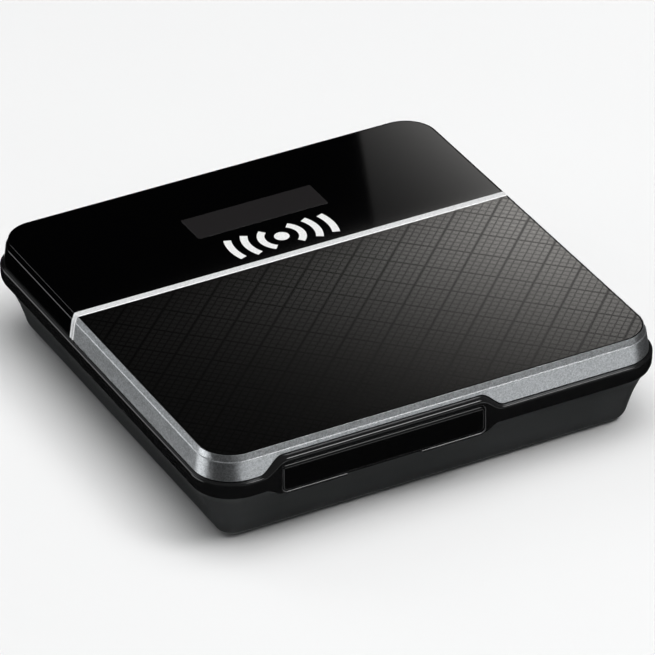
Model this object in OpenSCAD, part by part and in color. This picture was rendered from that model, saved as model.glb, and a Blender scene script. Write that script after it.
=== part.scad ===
// Pocket Wi-Fi router (mobile hotspot) with a port cover, a lift-off battery cover and two keys.
// Millimetres. Origin at the centre of the base, +X right, +Y rear, +Z up. Front is -Y.

/* [Body] */
// Overall width, left to right
body_w = 80; // [70:0.5:100]
// Overall depth, front to rear
body_d = 80; // [70:0.5:100]
// Height of the lid's flat top above the table
top_z = 17; // [14:0.1:22]
// Corner radius of the outermost outline
corner_r = 7; // [6.2:0.1:12]
// Thickness of the lid
lid_t = 1.1; // [0.8:0.1:1.5]

/* [Seams] */
// Height of the underside of the base, carried on the feet
base_z = 0.4; // [0.2:0.1:1]
// Height of the seam between the base and the belt
belt_z0 = 9.65; // [8:0.05:11]
// Height of the seam between the belt and the lid frame
belt_z1 = 12.85; // [12:0.05:14]
// Height of the crest where the lid frame turns into its bevel
crest_z = 15.95; // [15:0.05:16.4]
// Inset of the lid's flat top from the outermost outline
panel_inset = 1.5; // [1:0.05:2.5]
// Y of the front edge of the bright strip
trim_y = 8.65; // [0:0.05:20]
// Width of the bright strip
trim_w = 1.45; // [1:0.05:3]
// Height that the bright strip stands proud
trim_proud = 0.1; // [0.05:0.05:0.3]

/* [Display] */
// Centre of the display window, left to right
window_x = 0.4; // [-10:0.1:10]
// Centre of the display window, front to rear
window_y = 23.8; // [18:0.1:30]
// Width of the display window
window_w = 23.4; // [20:0.1:40]
// Depth of the display window
window_d = 6.5; // [5:0.1:12]

/* [Port cover] */
// Centre of the port cover along the front
port_x = -10.3; // [-16:0.1:0]
// Width of the recess that the cover sits in
port_w = 35; // [30:0.1:40]
// Height of the recess's lower edge
port_z0 = 9.05; // [9:0.05:10]
// Height of the recess's upper edge
port_z1 = 13.95; // [13:0.05:14]
// Gap round the cover
port_gap = 0.18; // [0.1:0.01:0.3]
// Thickness of the cover
port_t = 1.2; // [0.8:0.1:1.6]
// Radius of the rolled top edge that turns on the pin
roll_r = 0.6; // [0.55:0.05:0.7]
// Radius of the hinge pin
pin_r = 0.25; // [0.2:0.05:0.3]
// Half width of the raised surround at its top
bulge_top = 17.2; // [17:0.1:19]
// Half width of the raised surround at its foot
bulge_foot = 21.2; // [20:0.1:23]
// Height of the top of the raised surround
bulge_z1 = 15.25; // [15:0.05:15.4]
// Height of the lower edge under the surround
bulge_z0 = 8.5; // [8:0.05:9]
// Width of the nail notch under the cover
notch_w = 13; // [8:0.5:18]

/* [Underside] */
// Width of the battery cover
cover_w = 59; // [50:0.5:60]
// Depth of the battery cover
cover_d = 56; // [50:0.5:58]
// Thickness of the battery cover
cover_t = 1.2; // [0.8:0.1:1.5]
// Thickness of the base's floor
floor_t = 1.8; // [1.6:0.1:2.2]
// Distance of the corner screws from the middle, both ways
screw_xy = 31.2; // [30:0.1:32]

/* [Inside] */
// Battery size, left to right
battery_w = 53; // [45:0.5:53]
// Battery size, front to rear
battery_d = 50; // [45:0.5:50]
// Battery thickness
battery_t = 5.6; // [4:0.1:5.8]
// Thickness of the circuit board
board_t = 0.8; // [0.6:0.1:1.2]
// Height of the underside of the circuit board
board_z = 9.3; // [9:0.1:9.6]

/* [Keys] */
// Centre of the power key along the right side
power_y = 18; // [10:0.5:24]
// Centre of the pairing key along the right side
wps_y = 2; // [-10:0.5:6]
// Length of each key
key_l = 9; // [6:0.5:12]
// Height of each key
key_h = 2; // [1.6:0.1:2.2]

/* [Hidden] */
$fn = 48;
eps = 0.01;
hw = body_w / 2;
hd = body_d / 2;
inner_inset = 2.1;                  // inner face of the belt, from the outline
lid_z = top_z - lid_t;              // underside of the lid's plate
seat_inset = 4;                     // inner edge of the ledge that the panel lies on
seat_t = 0.85;                      // thickness of that ledge
cut_z = 30;                         // taller than the whole object
key_z = 11.3;                       // height of both keys
board_top = board_z + board_t;
floor_z = base_z + floor_t;
tray_z = 7.5;                       // underside of the tray's plate
tray_t = 0.8;
port_r = 0.8;                       // corner radius of the port recess
hinge_y = -hd + 0.1 + roll_r;       // hinge axis of the port cover
hinge_z = port_z1 - 0.2 - roll_r;
pin_reach = 1.2;                    // how far the hinge pin goes into the surround at each end
pocket_y = -hd + 2.4;               // back wall of the port recess
surround_y = pocket_y + 1;          // inner face of the port surround
usb_x = -20.5;
sim_x = -3.2;
battery_z = base_z + cover_t + 0.1;

// Outer outline of each shell as [inset, height] pairs, from the bottom up
BASE_OUT = [[5.35, base_z], [4.9, 0.6], [4.4, 0.95], [4.05, 1.5], [3.8, 2.2], [3.55, 3.1],
            [3.2, 4.2], [2.8, 5.4], [2.35, 6.5], [1.9, 7.5], [1.45, 8.4], [1.0, 9.1], [0.6, belt_z0]];
BASE_IN = [[6.3, floor_z], [5.6, 3.0], [5.0, 4.2], [4.3, 5.8], [3.4, 7.5], [2.6, 8.8],
           [inner_inset, belt_z0 + eps]];
BELT_OUT = [[0.6, belt_z0], [0.25, belt_z0 + 0.3], [0.08, belt_z0 + 0.8], [0, belt_z0 + 1.5],
            [0, belt_z1 - 0.5], [0.06, belt_z1 - 0.28], [0.18, belt_z1 - 0.1], [0.36, belt_z1]];
LID_OUT = [[0.6, belt_z1 + 0.05], [1.1, crest_z], [1.2, crest_z + 0.15], [1.45, top_z - 0.08],
           [panel_inset + 0.04, top_z]];
TRIM_OUT = [[0.5, belt_z1 + 0.05], [1.0, crest_z + 0.02], [1.12, crest_z + 0.3],
            [1.42, top_z + 0.02], [1.6, top_z + trim_proud]];

// ---- Shapes that repeat ----

// Rounded-square body whose sides follow a list of [inset, height] pairs
module swept(outline, hx = hw, hy = hd, r = corner_r) {
    n = len(outline) - 1;
    edge = [for (p = outline) [r - p[0], p[1]]];
    sector = concat([[0, outline[0][1]]], edge, [[0, outline[n][1]]]);
    side = [for (p = outline) [hy - p[0], p[1]]];
    mirrored = [for (i = [n : -1 : 0]) [outline[i][0] - hy, outline[i][1]]];
    translate([-(hx - r), 0, 0])
        rotate([90, 0, 90])
            linear_extrude(2 * (hx - r))
                polygon(concat(side, mirrored));
    for (s = [0, 1])
        rotate([0, 0, 180 * s])
            translate([hx - r, hy - r, 0])
                rotate([90, 0, 0])
                    linear_extrude(2 * (hy - r))
                        polygon(sector);
    for (s = [[1, 1, 0], [-1, 1, 90], [-1, -1, 180], [1, -1, 270]])
        translate([s[0] * (hx - r), s[1] * (hy - r), 0])
            rotate([0, 0, s[2]])
                rotate_extrude(angle = 90)
                    polygon(sector);
}

// Upright prism with rounded corners, centred on X and Y
module slab(w, d, z0, z1, r) {
    translate([0, 0, z0])
        linear_extrude(z1 - z0)
            rounded_2d(w, d, r);
}

// Rounded rectangle made of true arcs
module rounded_2d(w, d, r) {
    square([w - 2 * r, d], center = true);
    square([w, d - 2 * r], center = true);
    for (x = [-1, 1], y = [-1, 1])
        translate([x * (w / 2 - r), y * (d / 2 - r)])
            circle(r);
}

// Straight-sided block given by its two corners
module block(a, b) {
    translate(a)
        cube(b - a);
}

// Everything of a shape that lies between two Y values
module between_y(y0, y1) {
    intersection() {
        children();
        block([-hw - 5, y0, -5], [hw + 5, y1, cut_z]);
    }
}

// Smooth step from 0 to 1
function ease(t) = 3 * t * t - 2 * t * t * t;

// Outline of the raised port surround seen from the front; grow enlarges it all round
module surround_2d(grow = 0) {
    steps = 10;
    run = bulge_foot - bulge_top;
    rise = bulge_z1 - belt_z1;
    drop = belt_z0 - bulge_z0;
    up = [for (i = [0 : steps])
        [bulge_foot - run * i / steps + grow, belt_z1 - 0.4 + (rise + 0.4) * ease(i / steps) + grow]];
    down = [for (i = [0 : steps])
        [bulge_top + run * 0.7 * i / steps + grow, bulge_z0 + (drop + 0.4) * ease(i / steps) - grow]];
    half = concat(down, up);
    other = [for (i = [len(half) - 1 : -1 : 0]) [-half[i][0], half[i][1]]];
    translate([port_x, 0])
        polygon(concat(half, other));
}

// A front outline pushed back from the front of the object
module from_front(y0, y1) {
    translate([0, y1, 0])
        rotate([90, 0, 0])
            linear_extrude(y1 - y0)
                children();
}

// Rounded recess of the port cover, seen from the front
module port_2d(grow = 0) {
    translate([port_x, (port_z0 + port_z1) / 2])
        rounded_2d(port_w + 2 * grow, port_z1 - port_z0 + 2 * grow, port_r + grow);
}

// ---- Shells ----

module bottom_case() {
    color("#26282a")
        difference() {
            swept(BASE_OUT);
            difference() {
                swept(BASE_IN);
                for (x = [-1, 1], y = [-1, 1])
                    translate([x * screw_xy, y * screw_xy, 0])
                        cylinder(r = 2.3, h = floor_z + 1.4);
            }
            slab(cover_w + 0.3, cover_d + 0.3, base_z - 1, base_z + cover_t + 0.03, 2.2);
            slab(cover_w - 5, cover_d - 5, base_z, floor_z + 1, 1.5);
            from_front(-hd - 1, surround_y + 0.1)
                surround_2d(0.03);
            for (x = [-1, 1], y = [-1, 1])
                translate([x * screw_xy, y * screw_xy, 0]) {
                    cylinder(r = 1.05, h = 6);
                    cylinder(r = 1.95, h = base_z + 1.1);
                }
            for (x = [-1, 1], y = [-1, 1])
                translate([x * 15, y * 31.4, 0])
                    slab(12.2, 3.2, 0, base_z + 0.5, 1.55);
            // Nail slot beside the battery cover
            translate([0, -cover_d / 2 - 0.5, 0])
                slab(9, 1.6, base_z - 1, base_z + 0.6, 0.75);
        }
}

module belt_frame() {
    color("#0a0a0b")
        difference() {
            union() {
                difference() {
                    swept(BELT_OUT);
                    slab(body_w - 2 * inner_inset, body_d - 2 * inner_inset, belt_z0 - 1, cut_z,
                         corner_r - inner_inset);
                }
                // Tongue that locates the lid
                difference() {
                    slab(body_w - 2 * inner_inset, body_d - 2 * inner_inset, belt_z0 + 0.4, 14.2,
                         corner_r - inner_inset);
                    slab(body_w - 5.6, body_d - 5.6, belt_z0 - 1, cut_z, corner_r - 2.8);
                }
                from_front(-hd + 0.05, surround_y)
                    surround_2d();
            }
            // Sloped ledge along the top of the surround
            translate([port_x, -hd + 0.15, bulge_z1 - 0.45])
                rotate([25, 0, 0])
                    translate([-30, -2, 0])
                        cube([60, 4, 3]);
            from_front(-hd - 1, pocket_y)
                port_2d();
            // Nail notch in the lip under the cover
            block([port_x - notch_w / 2, -hd - 1, bulge_z0 - 1],
                  [port_x + notch_w / 2, -hd + 0.75, port_z0 + 0.1]);
            // Openings for the two sockets
            block([usb_x - 4.1, pocket_y - 1, board_top - 0.1], [usb_x + 4.1, surround_y + 1, 12.9]);
            block([sim_x - 8.4, pocket_y - 1, board_top - 0.1], [sim_x + 8.4, surround_y + 1, 12.3]);
            hinge_bore(pin_r);
            for (y = [power_y, wps_y])
                key_hole(y);
        }
}

// Straight bore for the hinge pin, a little longer than the recess at each end
module hinge_bore(r) {
    translate([port_x - port_w / 2 - pin_reach - 0.2, hinge_y, hinge_z])
        rotate([0, 90, 0])
            cylinder(r = r, h = port_w + 2 * pin_reach + 0.4);
}

module key_hole(y) {
    translate([hw - 5, y, key_z])
        rotate([90, 0, 90])
            linear_extrude(8)
                rounded_2d(key_l + 0.24, key_h + 0.24, key_h / 2 + 0.1);
    block([hw - 5, y - key_l / 2 - 0.9, key_z - 1.4], [hw - inner_inset, y + key_l / 2 + 0.9, key_z + 1.4]);
}

module silver_frame() {
    color("#8f9598")
        difference() {
            between_y(-hd - 1, trim_y)
                difference() {
                    swept(LID_OUT);
                    lid_hollow();
                    slab(body_w - 2 * panel_inset - 0.08, body_d - 2 * panel_inset - 0.08, lid_z - 0.02,
                         cut_z, corner_r - panel_inset - 0.04);
                }
            from_front(-hd - 1, surround_y + 0.1)
                surround_2d(0.06);
        }
}

// Space under the lid: a wide part beside the walls and a narrower one through the ledge
module lid_hollow() {
    slab(body_w - 2 * inner_inset + 0.06, body_d - 2 * inner_inset + 0.06, belt_z1 - 1,
         lid_z - seat_t, corner_r - inner_inset + 0.03);
    slab(body_w - 2 * seat_inset, body_d - 2 * seat_inset, belt_z1 - 1, lid_z, 3);
}

module trim_strip() {
    color("#d8dadb")
        between_y(trim_y + 0.02, trim_y + trim_w - 0.02)
            difference() {
                swept(TRIM_OUT);
                slab(body_w - 2 * inner_inset + 0.06, body_d - 2 * inner_inset, belt_z1 - 1,
                     lid_z - 0.02, corner_r - inner_inset);
            }
}

module top_cover() {
    color("#060607")
        between_y(trim_y + trim_w, hd + 1)
            difference() {
                swept(LID_OUT);
                slab(body_w - 2 * inner_inset + 0.06, body_d - 2 * inner_inset + 0.06, belt_z1 - 1,
                     lid_z, corner_r - inner_inset + 0.03);
                translate([window_x, window_y, 0])
                    slab(window_w + 0.1, window_d + 0.1, lid_z - 1, cut_z, 0.2);
            }
}

module display_window() {
    color("#232123")
        translate([window_x, window_y, 0])
            slab(window_w, window_d, lid_z, top_z, 0.15);
}

module texture_panel() {
    inset = panel_inset + 0.1;
    color("#1b1b1b")
        between_y(-hd, trim_y - 0.02)
            slab(body_w - 2 * inset, body_d - 2 * inset, lid_z, top_z, corner_r - inset);
}

// ---- Port cover ----

module port_cover() {
    w = port_w - 2 * port_gap;
    color("#0a0a0b")
        difference() {
            union() {
                intersection() {
                    block([port_x - w / 2, -hd + 0.1, port_z0 - 1],
                          [port_x + w / 2, -hd + 0.1 + port_t, hinge_z]);
                    from_front(-hd, pocket_y)
                        port_2d(-port_gap);
                }
                translate([port_x, hinge_y, hinge_z])
                    rotate([0, 90, 0])
                        rolled_edge(w);
                // Latch rib inside the lower edge
                block([port_x - 5, -hd + 0.1 + port_t - eps, port_z0 + 0.7],
                      [port_x + 5, -hd + 0.1 + port_t + 0.35, port_z0 + 1.1]);
            }
            hinge_bore(pin_r + 0.05);
        }
}

// Top edge of the cover: turned about the hinge axis, with rounded ends that clear the recess
module rolled_edge(w) {
    r = min(port_r - port_gap, roll_r - 0.05);
    arc = [for (a = [0 : 15 : 90]) [roll_r - r + r * cos(a), w / 2 - r + r * sin(a)]];
    upper = [for (i = [len(arc) - 1 : -1 : 0]) arc[i]];
    lower = [for (q = arc) [q[0], -q[1]]];
    rotate_extrude()
        polygon(concat([[0, w / 2]], upper, lower, [[0, -w / 2]]));
}

module hinge_pin() {
    color("#c8cacc")
        translate([port_x - port_w / 2 - pin_reach, hinge_y, hinge_z])
            rotate([0, 90, 0])
                cylinder(r = pin_r, h = port_w + 2 * pin_reach);
}

// ---- Underside ----

module battery_cover() {
    color("#26282a")
        difference() {
            slab(cover_w, cover_d, base_z, base_z + cover_t, 2);
            // Grip ribs
            for (i = [-3 : 3])
                translate([0, 18 + i * 1.6, 0])
                    slab(16, 0.8, base_z - 1, base_z + 0.3, 0.35);
        }
}

module battery() {
    color("#3a3d40")
        slab(battery_w, battery_d, battery_z, battery_z + battery_t, 1.2);
}

module battery_pads() {
    color("#c9a24a")
        for (i = [-1.5 : 1 : 1.5])
            block([i * 3 - 1, battery_d / 2, battery_z + 2], [i * 3 + 1, battery_d / 2 + 0.05, battery_z + 4.6]);
}

module feet() {
    color("#141414")
        for (x = [-1, 1], y = [-1, 1])
            translate([x * 15, y * 31.4, 0])
                slab(12, 3, 0, base_z + 0.5, 1.45);
}

module case_screws() {
    color("#8a8c8e")
        for (x = [-1, 1], y = [-1, 1])
            translate([x * screw_xy, y * screw_xy, 0])
                screw(base_z + 0.2, 1.75, 0.85, 0.9, 5.6);
}

// Countersunk-style screw pointing up, with a cross slot in its head
module screw(z0, head_r, head_h, shank_r, shank_l) {
    difference() {
        translate([0, 0, z0])
            union() {
                cylinder(r = head_r, h = head_h);
                cylinder(r = shank_r, h = head_h + shank_l);
            }
        for (a = [0, 90])
            rotate([0, 0, a])
                block([-head_r * 0.6, -head_r * 0.13, z0 - 1], [head_r * 0.6, head_r * 0.13, z0 + head_h * 0.5]);
    }
}

// ---- Inside ----

module inner_tray() {
    bay_w = battery_w + 0.8;
    bay_d = battery_d + 0.8;
    color("#2f3133")
        difference() {
            union() {
                slab(70, 70, tray_z, tray_z + tray_t, 3.4);
                slab(bay_w + 2, bay_d + 2, floor_z, tray_z + eps, 1.8);
                for (x = [-1, 1], y = [-1, 1]) {
                    translate([x * screw_xy, y * screw_xy, floor_z + 1.4])
                        cylinder(r = 2.2, h = tray_z - floor_z - 1.4 + eps);
                    translate([x * 30, y * 24, tray_z])
                        cylinder(r = 1.8, h = board_z - tray_z);
                }
            }
            slab(bay_w, bay_d, floor_z - 1, tray_z, 1.4);
            for (x = [-1, 1], y = [-1, 1]) {
                translate([x * screw_xy, y * screw_xy, 0])
                    cylinder(r = 0.92, h = tray_z + 0.2);
                translate([x * 30, y * 24, tray_z + 0.3])
                    cylinder(r = 0.62, h = 4);
            }
            // Window for the battery connector
            block([-7.3, battery_d / 2 - 0.5, floor_z + 0.6], [7.3, 31.2, cut_z]);
        }
}

module main_board() {
    color("#12402c")
        difference() {
            slab(70, 70.6, board_z, board_top, 4);
            for (x = [-1, 1], y = [-1, 1])
                translate([x * 30, y * 24, 0])
                    cylinder(r = 0.75, h = cut_z);
        }
}

module board_screws() {
    color("#b0b2b4")
        for (x = [-1, 1], y = [-1, 1])
            translate([x * 30, y * 24, 0])
                rotate([180, 0, 0])
                    screw(-board_top - 0.62, 1.3, 0.6, 0.6, 1.9);
}

// Pressed can with an open underside
module shield(w, d) {
    h = 2;
    sheet = 0.2;
    difference() {
        slab(w, d, board_top + 0.01, board_top + h, 0.6);
        slab(w - 2 * sheet, d - 2 * sheet, board_top - 1, board_top + h - sheet, 0.4);
        for (x = [-w / 2 + 3 : 4 : w / 2 - 2])
            translate([x, 0, board_top + h - 1])
                cylinder(r = 0.5, h = 2);
    }
}

module modem_shield() {
    color("#b9bcbe")
        translate([-14, 2, 0])
            shield(28, 24);
}

module wifi_shield() {
    color("#b9bcbe")
        translate([14, -2, 0])
            shield(18, 20);
}

module usb_socket() {
    h = 2.45;
    z = board_top + 0.02;
    color("#c2c5c7")
        difference() {
            block([usb_x - 3.75, pocket_y + 0.15, z], [usb_x + 3.75, pocket_y + 5.6, z + h]);
            difference() {
                block([usb_x - 3.45, pocket_y - 1, z + 0.3], [usb_x + 3.45, pocket_y + 4.8, z + h - 0.3]);
                block([usb_x - 1.9, pocket_y + 0.8, z + 1.3], [usb_x + 1.9, pocket_y + 5, z + 1.8]);
            }
        }
}

module sim_socket() {
    z = board_top + 0.02;
    color("#aeb2b4")
        difference() {
            block([sim_x - 8.1, pocket_y + 0.15, z], [sim_x + 8.1, pocket_y + 19, z + 1.9]);
            block([sim_x - 7.6, pocket_y - 1, z + 0.5], [sim_x + 7.6, pocket_y + 18.2, z + 1.5]);
            translate([sim_x, pocket_y, 0])
                slab(9, 3, z + 1, z + 3, 1.2);
        }
}

module oled_module() {
    color("#1a1c20")
        union() {
            block([window_x - 15, window_y - 5.7, lid_z - 1.5], [window_x + 15, window_y + 5.3, lid_z - 0.75]);
            block([window_x - 13, window_y - 4, lid_z - 0.75 - eps], [window_x + 13, window_y + 4.4, lid_z - 0.06]);
        }
}

module display_flex() {
    x0 = window_x - 4;
    x1 = window_x + 4;
    y0 = window_y + 5.3;
    color("#b5702a")
        union() {
            block([x0, y0, lid_z - 1.4], [x1, y0 + 3, lid_z - 1.25]);
            block([x0, y0 + 2.85, board_top + 0.9], [x1, y0 + 3, lid_z - 1.25]);
            block([x0, y0 - 0.5, board_top + 0.9], [x1, y0 + 3, board_top + 1.05]);
            // Board connector
            block([x0 - 0.8, y0 - 3.6, board_top + 0.01], [x1 + 0.8, y0 - 0.4, board_top + 1.3]);
        }
}

module contact_block() {
    color("#101010")
        block([-6.6, battery_d / 2 + 1.1, 3.2], [6.6, 30.6, board_z - 0.01]);
}

module contact_springs() {
    color("#d0a850")
        for (i = [-1.5 : 1 : 1.5])
            translate([i * 3, battery_d / 2, 0])
                union() {
                    block([-0.6, 0.12, battery_z + 2.6], [0.6, 0.34, battery_z + 4]);
                    block([-0.6, 0.12, battery_z + 3.8], [0.6, 1.1, battery_z + 4]);
                }
}

// ---- Keys ----

module key_cap(y) {
    color("#0d0d0e")
        union() {
            translate([hw - 2.3, y, key_z])
                rotate([90, 0, 90])
                    linear_extrude(2.28)
                        rounded_2d(key_l, key_h, key_h / 2 - 0.02);
            block([hw - 2.85, y - key_l / 2 - 0.6, key_z - 1.2], [hw - 2.2, y + key_l / 2 + 0.6, key_z + 1.2]);
            block([hw - 3.7, y - 0.9, key_z - 0.6], [hw - 2.8, y + 0.9, key_z + 0.6]);
        }
}

module key_switch(y) {
    color("#1c1c1e")
        difference() {
            block([hw - 7.4, y - 2.3, board_top + 0.01], [hw - 4.4, y + 2.3, board_top + 2]);
            block([hw - 5.4, y - 0.85, key_z - 0.45], [hw - 4, y + 0.85, key_z + 0.45]);
        }
}

module key_plunger(y) {
    color("#d9d4c4")
        block([hw - 5, y - 0.75, key_z - 0.35], [hw - 3.7, y + 0.75, key_z + 0.35]);
}

module power_button() {
    key_cap(power_y);
}

module wps_button() {
    key_cap(wps_y);
}

module power_switch() {
    key_switch(power_y);
}

module wps_switch() {
    key_switch(wps_y);
}

module power_plunger() {
    key_plunger(power_y);
}

module wps_plunger() {
    key_plunger(wps_y);
}

// ---- Antennas ----

module antenna_main() {
    color("#b87838")
        translate([25, 32.5, 0])
            slab(16, 6, lid_z - 0.32, lid_z - 0.02, 0.6);
}

module antenna_aux() {
    color("#b87838")
        translate([-25, 32.5, 0])
            slab(16, 6, lid_z - 0.32, lid_z - 0.02, 0.6);
}

bottom_case();
belt_frame();
port_cover();
silver_frame();
trim_strip();
top_cover();
display_window();
texture_panel();
hinge_pin();
battery_cover();
battery();
battery_pads();
feet();
case_screws();
inner_tray();
main_board();
board_screws();
modem_shield();
wifi_shield();
usb_socket();
sim_socket();
oled_module();
display_flex();
contact_block();
contact_springs();
power_button();
wps_button();
power_switch();
wps_switch();
power_plunger();
wps_plunger();
antenna_main();
antenna_aux();
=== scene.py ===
"""Looks of a pocket Wi-Fi router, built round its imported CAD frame. Sizes below are millimetres, and
every mesh is turned into metres as it is made. Front is -Y, the port cover is on the front."""

import math

import bmesh
import bpy
from mathutils import Matrix, Vector


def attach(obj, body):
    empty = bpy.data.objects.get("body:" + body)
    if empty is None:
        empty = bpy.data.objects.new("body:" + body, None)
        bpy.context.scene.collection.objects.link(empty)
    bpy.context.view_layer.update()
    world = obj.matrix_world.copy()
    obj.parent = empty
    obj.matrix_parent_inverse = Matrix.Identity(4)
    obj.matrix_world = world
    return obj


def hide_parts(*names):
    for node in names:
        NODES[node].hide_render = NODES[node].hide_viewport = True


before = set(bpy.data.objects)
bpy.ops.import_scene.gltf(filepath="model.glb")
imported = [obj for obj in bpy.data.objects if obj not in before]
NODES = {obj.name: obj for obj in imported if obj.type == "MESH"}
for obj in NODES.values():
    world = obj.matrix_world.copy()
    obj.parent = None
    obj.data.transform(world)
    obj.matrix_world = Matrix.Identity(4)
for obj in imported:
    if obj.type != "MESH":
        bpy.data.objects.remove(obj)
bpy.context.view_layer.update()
MM = 0.001

# ---- Sizes of the shells ----

HW = HD = 40.0  # half width and half depth
R = 7.0  # corner radius of the outermost outline
STRAIGHT = HW - R  # half length of each side between its corners
TOP = 17.0
LID_Z = 15.9  # underside of the lid's plate
BASE_Z = 0.4
FLOOR_Z = 2.2
INNER = 2.1  # inset of the belt's inner face
CREST = (1.12, 15.95)  # inset and height of the line where side turns into bevel
EDGE = 1.5  # inset of the lid's flat top
LIP = (0.6, 12.82)  # lower outer edge of the lid
SEAM = 12.56  # height of the belt's top edge
BELT_FOOT = 9.65  # height of the belt's lower edge
OUTSIDE = 42.0  # anywhere beyond the body, for tools that cut in from a side
TRIM_Y0, TRIM_Y1 = 8.65, 10.1
PORT_X = -10.3
PORT_W = 35.0
PORT_Z0, PORT_Z1 = 9.05, 13.95
SWING = (16.0, 21.6)  # distances from the port's middle between which the seams swing up
PORT_R = 0.8
NOTCH = 6.5  # half length of the nail notch under the port
GAP = 0.18
RIM = 0.29  # width of the rounded rim round the port recess
HINGE_Y, HINGE_Z = -39.3, 13.15
ROLL = 0.6  # radius of the port cover's rolled edge
POCKET_Y = -37.6
SURROUND_Y = -36.6
WINDOW = (0.4, 23.8, 23.4, 6.5)  # centre, width and depth
USB_X, SIM_X = -20.5, -3.2
BOARD_TOP = 10.1
KEY_Z = 11.3
KEY_L, KEY_H = 9.0, 2.0
KEYS_Y = (18.0, 2.0)
KEY_GAP = 0.12
DOOR = (59.3, 56.3, 2.2)  # recess of the battery cover: width, depth, corner radius
BAY = (54.0, 51.0, 1.5)
FOOT_AT, FOOT_PAD = (15.0, 31.4), (12.2, 3.2, 1.55)
SCREW_AT, HEAD_R = 31.2, 1.95
# Printed mark: its middle, the dot, and half the width of its arcs
MARK_AT, DOT_R, HALF_STROKE = (0.7, 14.95), 1.25, 0.62

# Outer wall of the base: inset at each height
BASE_WALL = [
    (5.35, 0.4), (4.9, 0.6), (4.4, 0.95), (4.05, 1.5), (3.8, 2.2), (3.55, 3.1), (3.2, 4.2),
    (2.8, 5.4), (2.35, 6.5), (1.9, 7.5), (1.45, 8.4), (1.0, 9.1), (0.62, 9.62),
]


def ease(t):
    t = min(max(t, 0.0), 1.0)
    return t * t * (3 - 2 * t)


def over_port(x, low, high, top, foot):
    """Height of a line along the front that swings from low to high round the port."""
    return low + (high - low) * ease((foot - abs(x - PORT_X)) / (foot - top))


def lid_edge(x):
    return over_port(x, LIP[1], 15.3, 17.2, 21.2)


def belt_ridge(x):
    return over_port(x, SEAM, 14.90, 16.6, 20.6)


def belt_foot(x):
    return over_port(x, BELT_FOOT, 8.5, 17.6, 20.2)


# ---- Mesh tools ----


def rounded_path(points, seg=4):
    """Points of an open path, each corner (x, z, radius) turned into an arc."""
    out = [Vector(points[0][:2])]
    for a, b, c in zip(points, points[1:], points[2:]):
        p, q, s = Vector(a[:2]), Vector(b[:2]), Vector(c[:2])
        r = b[2] if len(b) > 2 else 0
        u, v = (p - q), (s - q)
        turn = math.pi - u.angle(v, math.pi)
        if r == 0 or turn < 0.02:
            out.append(q)
            continue
        reach = min(r * math.tan(turn / 2), u.length * 0.49, v.length * 0.49)
        r = reach / math.tan(turn / 2)
        u.normalize()
        v.normalize()
        centre = q + (u + v).normalized() * (r / math.cos(turn / 2))
        start = q + u * reach - centre
        side = 1 if u.cross(v) < 0 else -1
        for i in range(seg + 1):
            w = side * turn * i / seg
            out.append(centre + Matrix.Rotation(w, 2) @ start)
    out.append(Vector(points[-1][:2]))
    return [(p.x, p.y) for p in out]


def smooth_curve(points, steps):
    """Catmull-Rom curve through the points."""
    pts = [Vector(p) for p in points]
    pts = [2 * pts[0] - pts[1]] + pts + [2 * pts[-1] - pts[-2]]
    out = []
    for k in range(1, len(pts) - 2):
        p0, p1, p2, p3 = pts[k - 1 : k + 3]
        for i in range(steps):
            t = i / steps
            out.append(
                0.5
                * (
                    2 * p1
                    + (p2 - p0) * t
                    + (2 * p0 - 5 * p1 + 4 * p2 - p3) * t * t
                    + (3 * p1 - p0 - 3 * p2 + p3) * t**3
                )
            )
    out.append(pts[-2])
    return [tuple(p) for p in out]


def span(a, b, step):
    n = max(1, round(abs(b - a) / step))
    return [a + (b - a) * i / n for i in range(n + 1)]


def corner(cx, cy, a0, n=20):
    """Columns round one corner, without its two ends."""
    out = []
    for i in range(1, n):
        a = math.radians(a0 + 90 * i / n)
        u = (math.cos(a), math.sin(a))
        out.append(((cx + R * u[0], cy + R * u[1]), u))
    return out


def front_stations():
    """X of the columns along the front, closest together where the seams swing up."""
    near, far = SWING
    out = [-STRAIGHT]
    for x, step in (
        (PORT_X - far, 0.8),
        (PORT_X - near, 0.28),
        (PORT_X + near, 2),
        (PORT_X + far, 0.28),
        (STRAIGHT, 2),
    ):
        out += span(out[-1], x, step)[1:]
    return out


def columns(y_from=None, y_to=None):
    """Columns (point on the outline, outward direction), anticlockwise from the front left. With
    y_from, only the part behind it; with y_to, only the part in front of it."""
    front = [((x, -HD), (0, -1)) for x in front_stations()]
    s = STRAIGHT
    right = [((HW, y), (1, 0)) for y in span(-s, s, 2)]
    rear = [((x, HD), (0, 1)) for x in span(s, -s, 3)]
    left = [((-HW, y), (-1, 0)) for y in span(s, -s, 2)]
    fr, rr = corner(s, -s, -90), corner(s, s, 0)
    rl, fl = corner(-s, s, 90), corner(-s, -s, 180)
    if y_to is not None:
        keep_l = [((-HW, y_to), (-1, 0))] + [c for c in left if c[0][1] < y_to - 0.1]
        keep_r = [c for c in right if c[0][1] < y_to - 0.1] + [((HW, y_to), (1, 0))]
        return keep_l + fl + front + fr + keep_r
    if y_from is not None:
        keep_r = [((HW, y_from), (1, 0))] + [c for c in right if c[0][1] > y_from + 0.1]
        keep_l = [c for c in left if c[0][1] > y_from + 0.1] + [((-HW, y_from), (-1, 0))]
        return keep_r + rr + rear + rl + keep_l
    return front + fr + right + rr + rear + rl + left + fl


def place(column, path):
    """A path of (inset, z) points stood up at a column."""
    (x, y), (u, v) = column
    return [(x - u * i, y - v * i, z) for i, z in path]


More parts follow.
